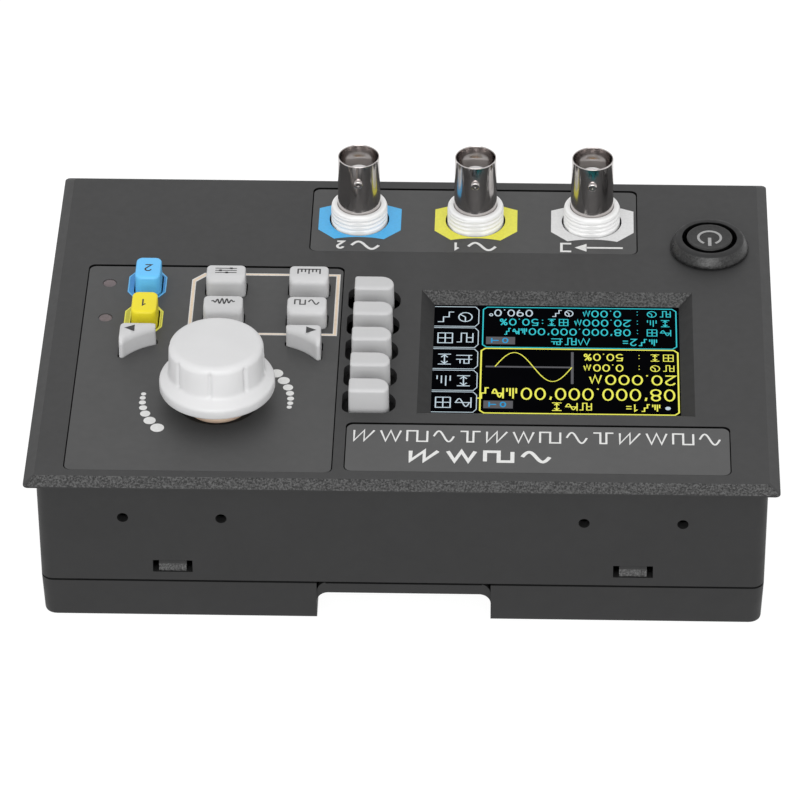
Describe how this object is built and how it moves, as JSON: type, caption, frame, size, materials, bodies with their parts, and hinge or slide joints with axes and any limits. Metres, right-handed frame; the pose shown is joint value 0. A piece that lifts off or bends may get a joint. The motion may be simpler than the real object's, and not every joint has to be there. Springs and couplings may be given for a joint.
{
  "type": "function generator",
  "caption": "Desktop signal generator: flanged dark case over a rail channel, colour display, soft and function keys, push encoder knob, power button and coaxial sockets.",
  "frame": {"origin": "middle of the underside, on the surface that the instrument rests on", "axes": "+X to the user's right, +Y up the panel towards the title strip, +Z out of the panel"},
  "size_m": [0.168, 0.123, 0.058],
  "materials": {
    "case_plastic": "fine textured dark grey moulding",
    "label_film": "satin grey printed film",
    "key_plastic": "satin light grey moulding",
    "key_yellow": "satin yellow moulding",
    "key_blue": "satin blue moulding",
    "knob_plastic": "satin pale grey moulding",
    "white_plastic": "white moulded plastic",
    "nickel": "bright nickel plate",
    "gold_plate": "gold coloured plate",
    "steel": "plain zinc plated steel",
    "button_plastic": "textured black moulding",
    "socket_plastic": "black moulding",
    "screen_glass": "dark lit display panel",
    "circuit_board": "green solder mask",
    "light_pipe": "unlit smoky lens"
  },
  "bodies": {
    "case": {"base_tray": "case_plastic", "coax_barrel_ch1": "nickel", "coax_barrel_ch2": "nickel", "coax_barrel_ext": "nickel", "coax_contact_ch1": "gold_plate", "coax_contact_ch2": "gold_plate", "coax_contact_ext": "gold_plate", "coax_housing_ch1": "white_plastic", "coax_housing_ch2": "white_plastic", "coax_housing_ext": "white_plastic", "coax_insulator_ch1": "white_plastic", "coax_insulator_ch2": "white_plastic", "coax_insulator_ext": "white_plastic", "connector_film": "label_film", "control_film": "label_film", "display_glass": "screen_glass", "display_module": "steel", "encoder_body": "steel", "encoder_nut": "gold_plate", "front_board": "circuit_board", "front_screw_1": "steel", "front_screw_2": "steel", "front_screw_3": "steel", "front_screw_4": "steel", "light_pipe_1": "light_pipe", "light_pipe_2": "light_pipe", "main_board": "circuit_board", "main_screw_1": "steel", "main_screw_2": "steel", "main_screw_3": "steel", "main_screw_4": "steel", "power_bezel": "button_plastic", "power_nut": "button_plastic", "power_socket": "socket_plastic", "power_switch": "socket_plastic", "title_film": "label_film", "top_cover": "case_plastic", "usb_socket": "nickel"},
    "key_channel_1": {"key_channel_1": "key_yellow"},
    "key_channel_2": {"key_channel_2": "key_blue"},
    "key_cursor_left": {"key_cursor_left": "key_plastic"},
    "key_cursor_right": {"key_cursor_right": "key_plastic"},
    "key_meas": {"key_meas": "key_plastic"},
    "key_mod": {"key_mod": "key_plastic"},
    "key_soft_1": {"key_soft_1": "key_plastic"},
    "key_soft_2": {"key_soft_2": "key_plastic"},
    "key_soft_3": {"key_soft_3": "key_plastic"},
    "key_soft_4": {"key_soft_4": "key_plastic"},
    "key_soft_5": {"key_soft_5": "key_plastic"},
    "key_sys": {"key_sys": "key_plastic"},
    "key_wave": {"key_wave": "key_plastic"},
    "power_button": {"power_cap": "button_plastic"},
    "encoder_push": {"encoder_plunger": "socket_plastic"},
    "knob": {"knob": "knob_plastic", "encoder_shaft": "steel"}
  },
  "joints": [
    {"name": "key_channel_1_press", "type": "slide", "parent": "case", "child": "key_channel_1", "axis": [0, 0, -1], "range_m": [0, 0.0003], "stiffness_N_per_m": 800},
    {"name": "key_channel_2_press", "type": "slide", "parent": "case", "child": "key_channel_2", "axis": [0, 0, -1], "range_m": [0, 0.0003], "stiffness_N_per_m": 800},
    {"name": "key_cursor_left_press", "type": "slide", "parent": "case", "child": "key_cursor_left", "axis": [0, 0, -1], "range_m": [0, 0.0003], "stiffness_N_per_m": 800},
    {"name": "key_cursor_right_press", "type": "slide", "parent": "case", "child": "key_cursor_right", "axis": [0, 0, -1], "range_m": [0, 0.0003], "stiffness_N_per_m": 800},
    {"name": "key_meas_press", "type": "slide", "parent": "case", "child": "key_meas", "axis": [0, 0, -1], "range_m": [0, 0.0003], "stiffness_N_per_m": 800},
    {"name": "key_mod_press", "type": "slide", "parent": "case", "child": "key_mod", "axis": [0, 0, -1], "range_m": [0, 0.0003], "stiffness_N_per_m": 800},
    {"name": "key_soft_1_press", "type": "slide", "parent": "case", "child": "key_soft_1", "axis": [0, 0, -1], "range_m": [0, 0.0003], "stiffness_N_per_m": 800},
    {"name": "key_soft_2_press", "type": "slide", "parent": "case", "child": "key_soft_2", "axis": [0, 0, -1], "range_m": [0, 0.0003], "stiffness_N_per_m": 800},
    {"name": "key_soft_3_press", "type": "slide", "parent": "case", "child": "key_soft_3", "axis": [0, 0, -1], "range_m": [0, 0.0003], "stiffness_N_per_m": 800},
    {"name": "key_soft_4_press", "type": "slide", "parent": "case", "child": "key_soft_4", "axis": [0, 0, -1], "range_m": [0, 0.0003], "stiffness_N_per_m": 800},
    {"name": "key_soft_5_press", "type": "slide", "parent": "case", "child": "key_soft_5", "axis": [0, 0, -1], "range_m": [0, 0.0003], "stiffness_N_per_m": 800},
    {"name": "key_sys_press", "type": "slide", "parent": "case", "child": "key_sys", "axis": [0, 0, -1], "range_m": [0, 0.0003], "stiffness_N_per_m": 800},
    {"name": "key_wave_press", "type": "slide", "parent": "case", "child": "key_wave", "axis": [0, 0, -1], "range_m": [0, 0.0003], "stiffness_N_per_m": 800},
    {"name": "power_press", "type": "slide", "parent": "case", "child": "power_button", "axis": [0, 0, -1], "range_m": [0, 0.002], "stiffness_N_per_m": 600},
    {"name": "encoder_press", "type": "slide", "parent": "case", "child": "encoder_push", "axis": [0, 0, -1], "range_m": [0, 0.0005], "stiffness_N_per_m": 2500},
    {"name": "knob_turn", "type": "hinge", "parent": "encoder_push", "child": "knob", "pos_m": [0.0423, 0.03, 0.0441], "axis": [0, 0, 1], "continuous": true}
  ]
}
